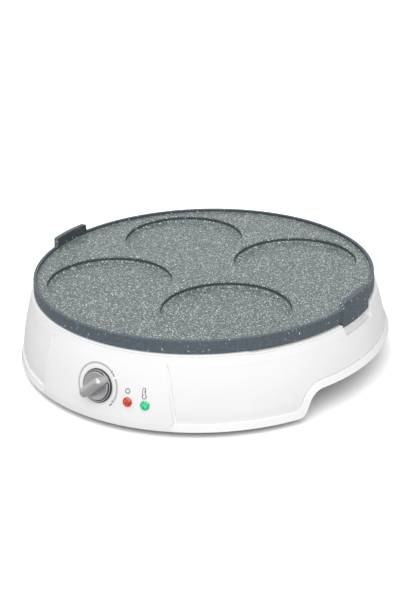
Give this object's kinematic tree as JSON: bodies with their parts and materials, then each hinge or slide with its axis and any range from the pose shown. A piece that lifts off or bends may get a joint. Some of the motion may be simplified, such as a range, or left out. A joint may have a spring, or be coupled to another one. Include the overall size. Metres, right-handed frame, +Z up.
{
  "type": "crepe maker",
  "caption": "Countertop crepe and pancake maker: a round lift-off non-stick plate with shallow recesses on a white lipped base with a thermostat knob and indicator lamps.",
  "frame": {"origin": "on the floor plane under the feet, at the centre of the object's bounding box", "axes": "+Z up; -Y is the front with the knob; +X is to the right as seen from the front"},
  "size_m": [0.3292, 0.347, 0.0863],
  "materials": {
    "housing": "gloss white moulding",
    "cover": "matt grey moulding",
    "feet": "matt",
    "plate": "stone-look non-stick coating, satin",
    "knob": "satin silver-grey paint",
    "knob_ring": "bright",
    "steel": "zinc plated",
    "shield": "pressed sheet, satin",
    "brass": "satin",
    "copper": "copper colour, satin",
    "ceramic": "unglazed",
    "lens_red": "clear red",
    "lens_green": "clear green",
    "neon": "clear",
    "gland": "satin white",
    "lead_brown": "heat-proof sleeve",
    "lead_blue": "heat-proof sleeve",
    "lead_green": "heat-proof sleeve",
    "lead_grey": "heat-proof sleeve"
  },
  "bodies": {
    "base": {"base_shell": "housing", "bottom_cover": "cover", "foot_front_left": "feet", "foot_front_right": "feet", "foot_rear_left": "feet", "foot_rear_right": "feet", "cover_screw_front_left": "steel", "cover_screw_front_right": "steel", "cover_screw_rear_left": "steel", "cover_screw_rear_right": "steel", "heat_shield": "shield", "shield_screw_front_left": "steel", "shield_screw_front_right": "steel", "shield_screw_rear_left": "steel", "shield_screw_rear_right": "steel", "heating_element": "steel", "element_clip_1": "steel", "element_clip_2": "steel", "element_clip_3": "steel", "terminal_bead_left": "ceramic", "terminal_bead_right": "ceramic", "terminal_pin_left": "steel", "terminal_pin_right": "steel", "sensor_bulb": "copper", "sensor_bracket": "steel", "capillary_tube": "copper", "thermal_fuse": "ceramic", "fuse_strap": "steel", "earth_tag": "brass", "earth_screw": "brass", "thermostat_body": "ceramic", "thermostat_bridge": "steel", "thermostat_screw_left": "steel", "thermostat_screw_right": "steel", "power_lamp_lens": "lens_red", "ready_lamp_lens": "lens_green", "power_neon": "neon", "ready_neon": "neon", "cord_gland": "gland", "terminal_block": "ceramic", "clamp_screw_1": "brass", "clamp_screw_2": "brass", "clamp_screw_3": "brass", "block_screw_left": "steel", "block_screw_right": "steel", "lead_live": "lead_brown", "lead_switched": "lead_brown", "lead_element": "lead_brown", "lead_neutral": "lead_blue", "lead_earth": "lead_green", "lamp_lead_1": "lead_grey", "lamp_lead_2": "lead_grey", "lamp_lead_3": "lead_grey", "lamp_lead_4": "lead_grey"},
    "plate": {"griddle_plate": "plate"},
    "knob": {"control_knob": "knob", "knob_trim_ring": "knob_ring", "thermostat_shaft": "steel"}
  },
  "joints": [
    {"name": "plate_lift", "type": "slide", "parent": "base", "child": "plate", "axis": [0, 0, 1], "range_m": [0, 0.08]},
    {"name": "knob_turn", "type": "hinge", "parent": "base", "child": "knob", "pos_m": [0, -0.15783, 0.0355], "axis": [0, 0.9726, -0.2325], "range_deg": [0, 270]}
  ]
}
